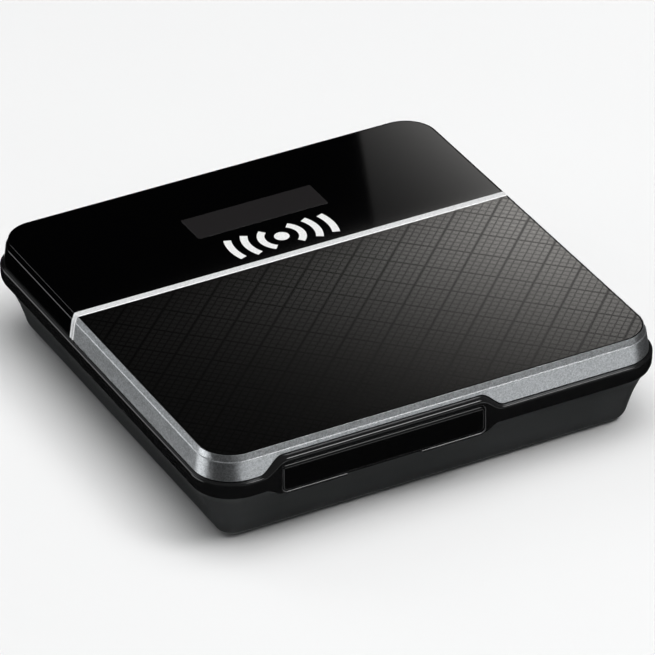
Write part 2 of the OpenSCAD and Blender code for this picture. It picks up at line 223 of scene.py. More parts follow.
def finish_mesh(name, bm, mat, body, cad=(), sharp=32, even=True):
    bmesh.ops.remove_doubles(bm, verts=bm.verts, dist=2e-7)
    bmesh.ops.recalc_face_normals(bm, faces=bm.faces)
    me = bpy.data.meshes.new(name)
    bm.to_mesh(me)
    bm.free()
    me.polygons.foreach_set("use_smooth", [True] * len(me.polygons))
    me.set_sharp_from_angle(angle=math.radians(sharp))
    ob = bpy.data.objects.new(name, me)
    bpy.context.scene.collection.objects.link(ob)
    me.materials.append(mat)
    if even:
        weigh(ob)
    if body:
        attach(ob, body)
        if cad:
            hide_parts(*cad)
    return ob


def bake(ob):
    """Replaces the mesh of ob with the one that its modifiers give."""
    dg = bpy.context.evaluated_depsgraph_get()
    me = bpy.data.meshes.new_from_object(ob.evaluated_get(dg))
    ob.modifiers.clear()
    old = ob.data
    me.name = old.name
    ob.data = me
    bpy.data.meshes.remove(old)


def weigh(ob):
    """Normals that follow the larger faces, so that a flat beside a small fillet stays flat. They
    are worked out at a thousand times the size, as the modifier takes no notice of tiny faces."""
    ob.data.transform(Matrix.Scale(1 / MM, 4))
    ob.modifiers.new("normals", "WEIGHTED_NORMAL").keep_sharp = True
    bake(ob)
    ob.data.transform(Matrix.Scale(MM, 4))


def second_material(ob, mat, test):
    """Gives mat to the faces whose centre (in millimetres) and normal pass the test."""
    ob.data.materials.append(mat)
    for face in ob.data.polygons:
        if test(face.center / MM, face.normal):
            face.material_index = 1


def grid(bm, rings, wrap, loop):
    vs = [[bm.verts.new(Vector(p) * MM) for p in ring] for ring in rings]
    n = len(vs[0])
    for a, b in zip(vs, vs[1:] + vs[:1] if wrap else vs[1:]):
        for i in range(n if loop else n - 1):
            j = (i + 1) % n
            if (a[i].co - a[j].co).length > 1e-9 or (b[i].co - b[j].co).length > 1e-9:
                bm.faces.new((a[i], a[j], b[j], b[i]))
    return vs


def ring_solid(rings, wrap):
    """Solid skinned over closed loops, with flat ends unless it wraps round."""
    bm = bmesh.new()
    vs = grid(bm, rings, wrap, True)
    if not wrap:
        bm.faces.new(vs[0])
        bm.faces.new(vs[-1])
    return bm


def bowl_solid(rings, wrap):
    """Solid skinned over open paths: their first points bound one flat face and their last points
    another. If it doesn't wrap, the first and last path bound a third."""
    bm = bmesh.new()
    vs = grid(bm, rings, wrap, False)
    bm.faces.new([v[0] for v in vs])
    bm.faces.new([v[-1] for v in vs])
    if not wrap:
        bm.faces.new(vs[0] + vs[-1][::-1])
    return bm


def rounded_rect(cx, cy, w, d, r, n=6):
    """Outline points and outward directions, anticlockwise."""
    out = []
    for sx, sy, a0 in ((1, -1, -90), (1, 1, 0), (-1, 1, 90), (-1, -1, 180)):
        for i in range(n + 1):
            a = math.radians(a0 + 90 * i / n)
            u = (math.cos(a), math.sin(a))
            c = (cx + sx * (w / 2 - r), cy + sy * (d / 2 - r))
            out.append(((c[0] + r * u[0], c[1] + r * u[1]), u))
    return out


def prism(outline, z0, z1, fillet=0.0, seg=3):
    """Upright plate from an outline with directions, its top edge rounded by fillet."""
    path = [(0, z0), (0, z1)]
    if fillet:
        path = rounded_path([(0, z0), (0, z1, fillet), (fillet * 2.4, z1)], seg)
    return bowl_solid([place(c, path) for c in outline], True)


def cutter(bm):
    me = bpy.data.meshes.new("cutter")
    bmesh.ops.recalc_face_normals(bm, faces=bm.faces)
    bm.to_mesh(me)
    bm.free()
    ob = bpy.data.objects.new("cutter", me)
    bpy.context.scene.collection.objects.link(ob)
    return ob


def box_bm(a, b):
    bm = bmesh.new()
    bmesh.ops.create_cube(bm, size=1)
    for v in bm.verts:
        v.co = Vector([(a[k] + b[k]) / 2 + v.co[k] * (b[k] - a[k]) for k in range(3)]) * MM
    return bm


def cylinder_bm(x, y, z0, z1, r):
    return prism(rounded_rect(x, y, 2 * r, 2 * r, r - 1e-4, 8), z0, z1)


def to_front(bm):
    """Turns an upright prism (X, Y, Z) into one that runs along Y: its Y becomes Z."""
    for v in bm.verts:
        v.co = Vector((v.co.x, v.co.z, v.co.y))
    return bm


def cut(ob, *tools, sharp=32, even=True):
    """Subtracts the tool meshes from ob, and applies the result."""
    for bm in tools:
        tool = cutter(bm)
        mod = ob.modifiers.new("cut", "BOOLEAN")
        mod.operation = "DIFFERENCE"
        mod.solver = "EXACT"
        mod.object = tool
        bake(ob)
        bpy.data.objects.remove(tool)
    ob.data.polygons.foreach_set("use_smooth", [True] * len(ob.data.polygons))
    ob.data.set_sharp_from_angle(angle=math.radians(sharp))
    if even:
        weigh(ob)


# ---- Material tools ----


class Graph:
    """One material's nodes, with short calls for the ones that repeat."""

    def __init__(self, name, shader="ShaderNodeBsdfPrincipled", **sockets):
        self.mat = bpy.data.materials.new(name)
        self.mat.use_nodes = True
        self.nt = self.mat.node_tree
        self.nt.nodes.clear()
        out = self.add("ShaderNodeOutputMaterial")
        self.bsdf = self.add(shader)
        self.nt.links.new(self.bsdf.outputs[0], out.inputs[0])
        for key, value in sockets.items():
            self.put(self.bsdf.inputs[key.replace("_", " ")], value)
        self.coord = self.add("ShaderNodeTexCoord")
        self.place = self.coord.outputs["Object"]

    def add(self, kind, **props):
        node = self.nt.nodes.new(kind)
        for key, value in props.items():
            setattr(node, key, value)
        return node

    def put(self, socket, value):
        if isinstance(value, bpy.types.NodeSocket):
            self.nt.links.new(value, socket)
        elif isinstance(value, tuple) and len(value) == 3 and len(socket.default_value) == 4:
            socket.default_value = (*value, 1)
        else:
            socket.default_value = value

    def math(self, op, *args):
        node = self.add("ShaderNodeMath", operation=op)
        for k, value in enumerate(args):
            self.put(node.inputs[k], value)
        return node.outputs[0]

    def fade(self, value, a, b, low=0.0, high=1.0):
        """Smooth change from low to high as value goes from a to b."""
        node = self.add("ShaderNodeMapRange", interpolation_type="SMOOTHSTEP")
        for k, v in enumerate((value, a, b, low, high)):
            self.put(node.inputs[k], v)
        return node.outputs[0]

    def mix(self, factor, a, b):
        node = self.add("ShaderNodeMix", data_type="RGBA")
        self.put(node.inputs[0], factor)
        self.put(node.inputs[6], a)
        self.put(node.inputs[7], b)
        return node.outputs[2]

    def moved(self, scale=(1, 1, 1), turn=0.0):
        node = self.add("ShaderNodeMapping")
        node.inputs["Rotation"].default_value = (0, 0, math.radians(turn))
        node.inputs["Scale"].default_value = scale
        self.put(node.inputs[0], self.place)
        return node.outputs[0]

    def noise(self, size, detail=2.0, where=None, rough=0.5):
        """Noise whose blobs are about size millimetres across."""
        node = self.add("ShaderNodeTexNoise")
        self.put(node.inputs["Vector"], where or self.place)
        node.inputs["Scale"].default_value = 1 / (size * MM)
        node.inputs["Detail"].default_value = detail
        node.inputs["Roughness"].default_value = rough
        return node.outputs[0]

    def cells(self, size):
        node = self.add("ShaderNodeTexVoronoi")
        self.put(node.inputs["Vector"], self.place)
        node.inputs["Scale"].default_value = 1 / (size * MM)
        return node.outputs["Color"]

    def axis(self, vector):
        node = self.add("ShaderNodeSeparateXYZ")
        self.put(node.inputs[0], vector)
        return node.outputs

    def bump(self, height, depth, strength=1.0):
        """height from 0 to 1 stands depth millimetres."""
        node = self.add("ShaderNodeBump")
        node.inputs["Strength"].default_value = strength
        node.inputs["Distance"].default_value = depth * MM
        self.put(node.inputs["Height"], height)
        return node.outputs[0]

    def set(self, **sockets):
        for key, value in sockets.items():
            self.put(self.bsdf.inputs[key.replace("_", " ")], value)
        return self.mat


def gloss_black(name, colour, rough, peel=0.0006, level=0.5):
    """Polished black plastic: a little orange peel, dust-fine speckle and faint hairlines."""
    g = Graph(name, Specular_IOR_Level=level)
    peel_h = g.noise(1.6, 1.5)
    dust = g.fade(g.noise(0.25, 3.0), 0.62, 0.8)
    hair = g.noise(0.5, 2.0, g.moved((14, 0.8, 14), 24))
    tint = g.mix(g.fade(dust, 0, 1, 0, 0.25), colour, tuple(c * 3 + 0.004 for c in colour))
    return g.set(
        Base_Color=tint,
        Roughness=g.fade(hair, 0.35, 0.75, rough, rough * 1.9),
        Normal=g.bump(peel_h, peel),
    )


def satin_plastic(name, colour, rough=0.42, grain=0.22, depth=0.006, level=0.5):
    """Moulded plastic with a fine spark-eroded grain and slow changes of shade."""
    g = Graph(name, Specular_IOR_Level=level)
    cloud = g.noise(14.0, 2.0)
    fine = g.noise(grain, 4.0, rough=0.6)
    shade = g.mix(g.fade(cloud, 0.3, 0.7), tuple(c * 0.88 for c in colour), tuple(c * 1.12 for c in colour))
    speck = g.mix(g.fade(fine, 0.35, 0.7, 0, 0.35), shade, tuple(c * 1.7 for c in colour))
    return g.set(
        Base_Color=speck,
        Roughness=g.fade(fine, 0.3, 0.7, rough - 0.06, rough + 0.08),
        Normal=g.bump(fine, depth),
    )


def metal(name, colour, rough, streak=(1, 1, 1), size=0.4, depth=0.002):
    """Metal with streaks or mottling of its finish."""
    g = Graph(name, Metallic=1.0)
    s = g.noise(size, 3.0, g.moved(streak))
    return g.set(
        Base_Color=g.mix(g.fade(s, 0.3, 0.7), tuple(c * 0.86 for c in colour), colour),
        Roughness=g.fade(s, 0.3, 0.7, rough * 0.75, rough * 1.3),
        Normal=g.bump(s, depth),
    )


def satin_metal(name, colour):
    """Bright satin plating, brushed along X, that scatters part of its light."""
    g = Graph(name, Metallic=0.30)
    s = g.noise(0.5, 3.0, g.moved((1, 14, 14)))
    return g.set(
        Base_Color=g.mix(g.fade(s, 0.3, 0.7), tuple(c * 0.93 for c in colour), colour),
        Roughness=g.fade(s, 0.3, 0.7, 0.24, 0.34),
        Normal=g.bump(s, 0.001),
    )


def silver_paint():
    """Metallic paint: aluminium flake that glints cell by cell under a thin clear coat."""
    g = Graph("silver_paint", Metallic=0.9)
    flake = g.axis(g.cells(0.15))[0]
    coarse = g.axis(g.cells(0.28))[1]
    cloud = g.noise(0.5, 3.0)
    value = g.math("ADD", g.math("MULTIPLY", flake, 0.5), g.math("MULTIPLY", coarse, 0.3))
    value = g.math("ADD", value, g.math("MULTIPLY", cloud, 0.3))
    return g.set(
        Base_Color=g.mix(g.fade(value, 0.15, 0.95), (0.345, 0.355, 0.365), (0.63, 0.645, 0.66)),
        Roughness=g.fade(coarse, 0, 1, 0.31, 0.39),
        Normal=g.bump(value, 0.006, 0.6),
    )


def lattice_panel():
    """Gloss panel with a diagonal lattice: fine lines every 1.19 mm, each fifth one broad."""
    g = Graph("panel_gloss", Metallic=1.0)
    turned = g.moved((1000, 1000, 1000), 45)
    axes = g.axis(turned)
    pitch, broad = 1.19, 5.95

    def line(coord, phase, step, half, soft):
        part = g.math("FRACT", g.math("DIVIDE", g.math("SUBTRACT", coord, phase - step / 2), step))
        away = g.math("MULTIPLY", g.math("ABSOLUTE", g.math("SUBTRACT", part, 0.5)), step)
        return g.fade(away, half + soft, half - soft)

    # Rotated by 45 degrees, X runs along (x - y) and Y along (x + y)
    across, along = axes[0], axes[1]
    fine_a = g.math("MULTIPLY", line(across, 2.56, pitch, 0.11, 0.13), 0.50)
    fine_b = g.math("MULTIPLY", line(along, 2.62, pitch, 0.12, 0.18), 0.48)
    broad_a = g.math("MULTIPLY", line(across, 2.56, broad, 0.24, 0.22), 0.56)
    broad_b = g.math("MULTIPLY", line(along, 2.62, broad, 0.20, 0.18), 0.54)
    half_b = g.math("MULTIPLY", line(along, 2.62 + pitch / 4, pitch / 2, 0.05, 0.10), 0.18)
    dark = g.math("MAXIMUM", g.math("MAXIMUM", fine_a, fine_b), g.math("MAXIMUM", broad_a, broad_b))
    dark = g.math("MAXIMUM", dark, half_b)
    grain = g.noise(0.3, 3.0)
    light = g.mix(g.fade(grain, 0.3, 0.7), (0.122, 0.120, 0.117), (0.155, 0.152, 0.148))
    height = g.math("SUBTRACT", 1.0, dark)
    return g.set(
        Base_Color=g.mix(dark, light, (0.030, 0.030, 0.030)),
        Roughness=g.fade(dark, 0, 1, 0.07, 0.16),
        Normal=g.bump(height, 0.002, 0.3),
    )


def printed_white():
    """Screen-printed ink with a slight mesh texture."""
    g = Graph("print_white")
    axes = g.axis(g.moved((1, 1, 1), 22))
    mesh = g.noise(0.16, 2.0)
    waves = g.math("SINE", g.math("MULTIPLY", axes[0], 2 * math.pi / (0.2 * MM)))
    h = g.math("ADD", mesh, g.math("MULTIPLY", waves, 0.15))
    return g.set(
        Base_Color=g.mix(g.fade(mesh, 0.35, 0.7), (0.70, 0.70, 0.69), (0.86, 0.86, 0.85)),
        Roughness=0.45,
        Normal=g.bump(h, 0.004),
    )


LID = gloss_black("lid_gloss", (0.0003, 0.0003, 0.0004), 0.02, 0.0002)
BELT = gloss_black("belt_gloss", (0.0060, 0.0060, 0.0062), 0.07)
FLAP = gloss_black("flap_gloss", (0.0022, 0.0022, 0.0023), 0.05)
# Lighter grey for the thin rims round the port recess and the cover: its colour is a painted highlight
# standing in for the light these fillets catch
RIM_HIGHLIGHT_MAT = gloss_black("rim_painted_highlight", (0.080, 0.080, 0.082), 0.16, level=1.0)
WINDOW_MAT = gloss_black("window_dark", (0.0145, 0.0134, 0.0138), 0.03, 0.0002)
KEY_MAT = gloss_black("key_gloss", (0.0040, 0.0040, 0.0044), 0.12)
BASE = satin_plastic("base_plastic", (0.0370, 0.0392, 0.0396))
SILVER = silver_paint()
PANEL = lattice_panel()
TRIM = satin_metal("trim_bright", (0.90, 0.905, 0.91))
WHITE = printed_white()

# ---- Base ----

FINE_WALL = smooth_curve(BASE_WALL, 6)


def base_path(zt):
    """Section of the tub from the middle of its underside round to the top of its floor."""
    wall = smooth_curve(BASE_WALL, 3)
    k = (zt - 0.02 - BASE_Z) / (BASE_WALL[-1][1] - BASE_Z)
    outer = []
    for i, z in wall:  # a lower rim keeps the wall's slope: the wall is cut, not squeezed
        zz = BASE_Z + (z - BASE_Z) * k
        outer.append((wall_inset(zz), zz))
    inner = [(2.6, 8.8), (3.4, 7.5), (4.3, 5.8), (5.0, 4.2), (5.6, 3.0), (6.3, FLOOR_Z)]
    top = [(INNER, outer[-1][1])]
    return outer + top + [(i, min(z, zt - 0.3)) for i, z in inner]


def wall_inset(z):
    for (i0, z0), (i1, z1) in zip(FINE_WALL, FINE_WALL[1:]):
        if z <= z1:
            return i0 + (i1 - i0) * max(0.0, (z - z0) / (z1 - z0))
    return FINE_WALL[-1][0]


tub = finish_mesh(
    "base_tub",
    bowl_solid(
        [place(c, base_path(belt_foot(c[0][0]) if c[1] == (0, -1) else BELT_FOOT)) for c in columns()], True
    ),
    BASE,
    "case",
    ["bottom_case"],
)
tools = [
    prism(rounded_rect(0, 0, *DOOR), -1, BASE_Z + 1.23),
    prism(rounded_rect(0, 0, *BAY), 0.6, 5),
    prism(rounded_rect(0, -28.5, 9, 1.6, 0.75), -1, 1.0),
]
for sx in (-1, 1):
    for sy in (-1, 1):
        foot = rounded_rect(sx * FOOT_AT[0], sy * FOOT_AT[1], *FOOT_PAD)
        tools.append(prism(foot, -1, BASE_Z + 0.5))
        tools.append(cylinder_bm(sx * SCREW_AT, sy * SCREW_AT, -1, BASE_Z + 1.1, HEAD_R))
cut(tub, *tools)

# ---- Belt, with the raised surround of the port ----


def lip_inset(z):
    return LIP[0] + (CREST[0] - LIP[0]) * (z - LIP[1]) / (CREST[1] - LIP[1])


def belt_loop(foot, ridge, lid):
    soft = 0.30 + 0.06 * (lid - LIP[1])
    path = [
        (INNER, foot),
        (0.60, foot, 0.05),
        (0.30, foot + 0.28, 0.3),
        (0.06, foot + 0.9, 1.0),
        (0.0, foot + 1.6, 1.0),
        (0.0, ridge, soft),
        (lip_inset(lid) + 0.12, lid - 0.09, 0.05),
        (INNER, lid - 0.09),
    ]
    return rounded_path(path, 6)


def belt_ring(c):
    if c[1] == (0, -1):
        x = c[0][0]
        return place(c, belt_loop(belt_foot(x), belt_ridge(x), lid_edge(x)))
    return place(c, belt_loop(BELT_FOOT, SEAM, LIP[1]))


belt = finish_mesh(
    "belt_shell",
    ring_solid([belt_ring(c) for c in columns()], True),
    BELT,
    "case",
    ["belt_frame"],
)
PORT_ZC, PORT_H = (PORT_Z0 + PORT_Z1) / 2, PORT_Z1 - PORT_Z0
recess = rounded_rect(PORT_X, PORT_ZC, PORT_W + 2 * RIM, PORT_H + 2 * RIM, PORT_R + RIM)
tools = [
    to_front(prism(recess, -OUTSIDE, -36)),
    box_bm((PORT_X - NOTCH, -OUTSIDE, 8.0), (PORT_X + NOTCH, -HD + 0.8, 9.2)),
]
for y in KEYS_Y:
    slot = rounded_rect(y, KEY_Z, KEY_L + 2 * KEY_GAP, KEY_H + 2 * KEY_GAP, KEY_H / 2 + 0.1)
    slot_bm = prism(slot, 36, OUTSIDE)
    for v in slot_bm.verts:
        v.co = Vector((v.co.z, v.co.x, v.co.y))
    tools.append(slot_bm)
cut(belt, *tools)


def port_pocket():
    """Lining of the recess: a rounded rim, straight walls and a back plate."""
    face = -HD + 0.005
    outline = rounded_rect(PORT_X, PORT_ZC, PORT_W, PORT_H, PORT_R, 8)
    path = rounded_path(
        [(0, POCKET_Y), (0, face, RIM - 0.03), (-RIM - 0.01, face), (-RIM - 0.01, face + 0.5),
         (-0.9, face + 1.9), (-0.9, SURROUND_Y)],
        5,
    )
    rings = []
    for (x, z), (u, v) in outline:
        rings.append([(x - u * i, y, z - v * i) for i, y in path])
    return bowl_solid(rings, True)


pocket = finish_mesh("port_pocket", port_pocket(), BELT, "case", ["belt_frame"])
cut(
    pocket,
    box_bm((USB_X - 4.1, POCKET_Y - 0.5, BOARD_TOP - 0.1), (USB_X + 4.1, SURROUND_Y + 1, 12.9)),
    box_bm((SIM_X - 8.4, POCKET_Y - 0.5, BOARD_TOP - 0.1), (SIM_X + 8.4, SURROUND_Y + 1, 12.3)),
    box_bm((PORT_X - NOTCH, -OUTSIDE, 8.0), (PORT_X + NOTCH, -HD + 0.75, 9.15)),
)
# The rounded rim faces round the recess take the painted-highlight grey
second_material(pocket, RIM_HIGHLIGHT_MAT, lambda c, n: c.y < -39.5 and abs(n.y) < 0.97)

# ---- Lid frame, trim bead, rear band, window, panel ----


def frame_loop(lid):
    path = [
        (INNER, lid + 0.02),
        (lip_inset(lid), lid, 0.05),
        (CREST[0] - 0.07, CREST[1] - 0.05, 0.12),
        (CREST[0] + 0.10, CREST[1] + 0.03, 0.06),
        (EDGE - 0.03, TOP, 0.05),
        (EDGE + 0.05, TOP, 0.03),
        (EDGE + 0.05, LID_Z),
        (INNER, LID_Z - 0.2),
    ]
    return rounded_path(path, 4)


finish_mesh(
    "lid_frame",
    ring_solid(
        [
            place(c, frame_loop(lid_edge(c[0][0]) if c[1] == (0, -1) else LIP[1]))
            for c in columns(y_to=TRIM_Y0)
        ],
        False,
    ),
    SILVER,
    "case",
    ["silver_frame"],
)


def panel_solid():
    """Plate between the frame's arms, with square rear corners."""
    inset = EDGE + 0.1
    path = rounded_path([(inset, LID_Z), (inset, TOP, 0.05), (inset + 0.2, TOP)], 2)
    return bowl_solid([place(c, path) for c in columns(y_to=TRIM_Y0 - 0.02)], False)


finish_mesh("lattice_panel", panel_solid(), PANEL, "case", ["texture_panel"])

band_path = rounded_path(
    [(INNER, 13.2), (INNER - 0.1, LIP[1]),
     (LIP[0], LIP[1], 0.08), (CREST[0] - 0.05, CREST[1] - 0.04, 0.08),
     (CREST[0] + 0.06, CREST[1] + 0.02, 0.05), (EDGE - 0.02, TOP, 0.07), (EDGE + 0.3, TOP)], 4
)
band = finish_mesh(
    "lid_band",
    bowl_solid([place(c, band_path) for c in columns(y_from=TRIM_Y1)], False),
    LID,
    "case",
    ["top_cover"],
    even=False,
)
cx, cy, ww, wd = WINDOW
cut(band, prism(rounded_rect(cx, cy, ww + 0.08, wd + 0.08, 0.17, 3), LID_Z, 20), even=False)
finish_mesh(
    "window_plate",
    prism(rounded_rect(cx, cy, ww, wd, 0.15, 3), LID_Z, TOP, 0.02),
    WINDOW_MAT,
    "case",
    ["display_window"],
)


def trim_bead():
    """Bead with two shoulders and a lower middle, up one side, across and down the other."""
    side = rounded_path(
        [(-HW + 0.5, 12.95), (-HW + 1.02, 15.97, 0.3), (-HW + 1.5, TOP + 0.1, 0.35), (-2, TOP + 0.1)], 5
    )[:-1]
    path = side + [(x, TOP + 0.1) for x in span(-36, 36, 4)] + [(-x, z) for x, z in side[::-1]]
    y0, y1 = TRIM_Y0 + 0.02, TRIM_Y1 - 0.02
    w = y1 - y0
    bead = rounded_path(
        [(0, -0.9), (0, -0.02, 0.18), (0.34, 0.0, 0.12), (0.46, -0.03, 0.1), (w - 0.46, -0.03, 0.1),
         (w - 0.34, 0.0, 0.12), (w, -0.02, 0.18), (w, -0.9)],
        3,
    )
    rings = []
    for k, (x, z) in enumerate(path):
        a, b = Vector(path[max(k - 1, 0)]), Vector(path[min(k + 1, len(path) - 1)])
        t = (b - a).normalized()
        n = Vector((-t.y, t.x))
        rings.append([(x + n.x * h, y0 + y, z + n.y * h) for y, h in bead])
    return ring_solid(rings, False)


finish_mesh("trim_bead", trim_bead(), TRIM, "case", ["trim_strip"])

# ---- Printed mark: a plain broadcast sign, a dot between arcs ----


def print_mark():
    bm = bmesh.new()
    mx, my = MARK_AT
    z0, z1 = TOP - 0.004, TOP + 0.012

    def add(outline):
        low = [bm.verts.new(Vector((x, y, z0)) * MM) for x, y in outline]
        high = [bm.verts.new(Vector((x, y, z1)) * MM) for x, y in outline]
        bm.faces.new(low[::-1])
        bm.faces.new(high)
        for i in range(len(low)):
            j = (i + 1) % len(low)
            bm.faces.new((low[i], low[j], high[j], high[i]))

    def arc_points(r, angles):
        return [(mx + r * math.cos(a), my + r * math.sin(a)) for a in angles]

    add(arc_points(DOT_R, [2 * math.pi * k / 32 for k in range(32)]))
    for r, spread in ((3.4, 50), (6.1, 29), (8.8, 19.5)):
        for side in (0, 180):
            arc = [math.radians(side - spread + 2 * spread * k / 20) for k in range(21)]
            add(arc_points(r + HALF_STROKE, arc) + arc_points(r - HALF_STROKE, arc[::-1]))
    return bm


finish_mesh("print_mark", print_mark(), WHITE, "case")

# ---- Port cover ----


def flap_plate():
    """Front plate with rounded lower corners and a fine rounded rim."""
    w = PORT_W - 2 * GAP
    face = -HD + 0.096
    z0, z1 = PORT_Z0 + GAP, HINGE_Z
    r = PORT_R - GAP
    outline = []
    for sx, a0 in ((-1, 180), (1, 270)):
        for i in range(9):
            a = math.radians(a0 + 90 * i / 8)
            u = (math.cos(a), math.sin(a))
            outline.append(((PORT_X + sx * (w / 2 - r) + r * u[0], z0 + r + r * u[1]), u))
    outline = [((PORT_X - w / 2, z1), (-1, 0))] + outline + [((PORT_X + w / 2, z1), (1, 0))]
    path = rounded_path([(0, face + 1.2), (0, face, 0.18), (0.5, face)], 5)
    rings = [[(x - u * i, y, z - v * i) for i, y in path] for (x, z), (u, v) in outline]
    return bowl_solid(rings, False)


def flap_roll():
    """Rolled upper edge, turned about the hinge."""
    w = PORT_W - 2 * GAP
    r = ROLL - 0.05
    half = rounded_path([(ROLL, 0), (ROLL, w / 2, r), (0, w / 2)], 6)
    prof = [(q, -h) for q, h in half[::-1]] + half[1:]
    rings = []
    for k in range(40):
        a = 2 * math.pi * k / 40
        y, z = math.cos(a), math.sin(a)
        rings.append([(PORT_X + h, HINGE_Y + q * y, HINGE_Z + q * z) for q, h in prof[1:-1]])
    return bowl_solid(rings, True)


plate = finish_mesh("flap_plate", flap_plate(), FLAP, "port_flap", ["port_cover"])
# The cover's rounded front rim takes the painted-highlight grey
second_material(plate, RIM_HIGHLIGHT_MAT, lambda c, n: c.y < -39.6 and 0.1 < abs(n.y) < 0.97)
finish_mesh("flap_roll", flap_roll(), FLAP, "port_flap", ["port_cover"])
rib = box_bm((PORT_X - 5, -HD + 1.2, PORT_Z0 + 0.7), (PORT_X + 5, -HD + 1.65, PORT_Z0 + 1.1))
bmesh.ops.bevel(rib, geom=rib.edges[:], offset=0.1 * MM, segments=3, affect="EDGES")
finish_mesh("flap_latch", rib, FLAP, "port_flap", ["port_cover"])

# ---- CAD parts that stay, with their own finishes ----


def repaint(mat, *names):
    for name in names:
        me = NODES[name].data
        me.materials.clear()
        me.materials.append(mat)


def two_tone(name, a, b, size, rough, metallic=0.0, depth=0.002):
    g = Graph(name, Metallic=metallic)
    n = g.noise(size, 3.0)
    return g.set(
        Base_Color=g.mix(g.fade(n, 0.35, 0.65), a, b),
        Roughness=g.fade(n, 0.3, 0.7, rough * 0.8, rough * 1.2),
        Normal=g.bump(n, depth),
    )


def board_mat():
    """Solder mask with tracks that show as a lighter maze."""
    g = Graph("board_green")
    axes = g.axis(g.place)
    cell = g.cells(1.8)
    pick = g.axis(cell)[0]
    run_x = g.math("SINE", g.math("MULTIPLY", axes[0], 2 * math.pi / (0.9 * MM)))
    run_y = g.math("SINE", g.math("MULTIPLY", axes[1], 2 * math.pi / (0.9 * MM)))
    run_x = g.math("MULTIPLY", run_x, pick)
    run_y = g.math("MULTIPLY", run_y, g.math("SUBTRACT", 1.0, pick))
    track = g.fade(g.math("MAXIMUM", run_x, run_y), 0.45, 0.6)
    return g.set(
        Base_Color=g.mix(track, (0.006, 0.052, 0.028), (0.012, 0.10, 0.055)),
        Roughness=0.35,
        Normal=g.bump(track, 0.02),
    )


repaint(satin_plastic("cover_plastic", (0.0380, 0.0402, 0.0406)), "battery_cover")
repaint(two_tone("foot_rubber", (0.008, 0.008, 0.008), (0.014, 0.014, 0.014), 0.4, 0.8, 0, 0.01), "feet")
repaint(metal("screw_steel", (0.52, 0.53, 0.54), 0.3), "case_screws", "board_screws")
repaint(
    two_tone("battery_wrap", (0.030, 0.034, 0.038), (0.042, 0.047, 0.052), 3.0, 0.4, 0.2, 0.004),
    "battery",
)
repaint(metal("pad_gold", (0.85, 0.62, 0.25), 0.22), "battery_pads", "contact_springs")
repaint(satin_plastic("tray_plastic", (0.03, 0.032, 0.034), 0.5), "inner_tray")
repaint(board_mat(), "main_board")
repaint(metal("shield_tin", (0.72, 0.73, 0.74), 0.33, (1, 6, 6), 1.2), "modem_shield", "wifi_shield")
repaint(metal("socket_steel", (0.70, 0.71, 0.72), 0.25, (1, 8, 8), 1.0), "usb_socket", "sim_socket")
repaint(metal("pin_steel", (0.70, 0.71, 0.72), 0.18, (1, 20, 20), 0.8), "hinge_pin")
repaint(two_tone("display_glass", (0.004, 0.005, 0.008), (0.008, 0.009, 0.013), 4.0, 0.1), "oled_module")
repaint(two_tone("flex_amber", (0.42, 0.17, 0.03), (0.55, 0.24, 0.05), 1.0, 0.35), "display_flex")
repaint(
    satin_plastic("connector_black", (0.006, 0.006, 0.006), 0.5),
    "contact_block",
    "power_switch",
    "wps_switch",
)
repaint(KEY_MAT, "power_button", "wps_button")
repaint(
    two_tone("plunger_cream", (0.62, 0.58, 0.48), (0.70, 0.66, 0.56), 1.0, 0.5),
    "power_plunger",
    "wps_plunger",
)
repaint(metal("antenna_copper", (0.75, 0.36, 0.16), 0.3), "antenna_main", "antenna_aux")

# ---- Camera: a long lens at the front left, looking down ----

AZIMUTH, TILT, ROLL_DEG = -27.573, 32.046, -0.663
DISTANCE = 908.146
SIDE, RISE = -0.753, -6.949  # how far the object's origin lies off the lens axis
LENS = 313.41

az, el, roll = (math.radians(v) for v in (AZIMUTH, TILT, ROLL_DEG))
back = Vector((math.sin(az) * math.cos(el), -math.cos(az) * math.cos(el), math.sin(el)))
level = Vector((math.cos(az), math.sin(az), 0))
upward = back.cross(level)
right = math.cos(roll) * level + math.sin(roll) * upward
up = -math.sin(roll) * level + math.cos(roll) * upward
eye = back * DISTANCE - right * SIDE - up * RISE

cam_data = bpy.data.cameras.new("camera")
cam_data.lens = LENS
cam_data.sensor_width = 36
cam_data.clip_end = 20
camera = bpy.data.objects.new("camera", cam_data)
bpy.context.scene.collection.objects.link(camera)
turn = Matrix((right, up, back)).transposed().to_4x4()
camera.matrix_world = Matrix.Translation(eye * MM) @ turn
bpy.context.scene.camera = camera

# ---- Floor and light ----

floor_graph = Graph("floor_pale", Roughness=0.9, Specular_IOR_Level=0.1)
floor_tone = floor_graph.noise(60.0, 2.0)
floor_graph.set(Base_Color=floor_graph.mix(floor_tone, (0.80, 0.80, 0.80), (0.82, 0.82, 0.82)))
bm = bmesh.new()
bmesh.ops.create_grid(bm, x_segments=4, y_segments=4, size=4)
floor = finish_mesh("floor", bm, floor_graph.mat, None)
floor.visible_glossy = False  # gloss black stays black beside a pale floor, as in a dark studio


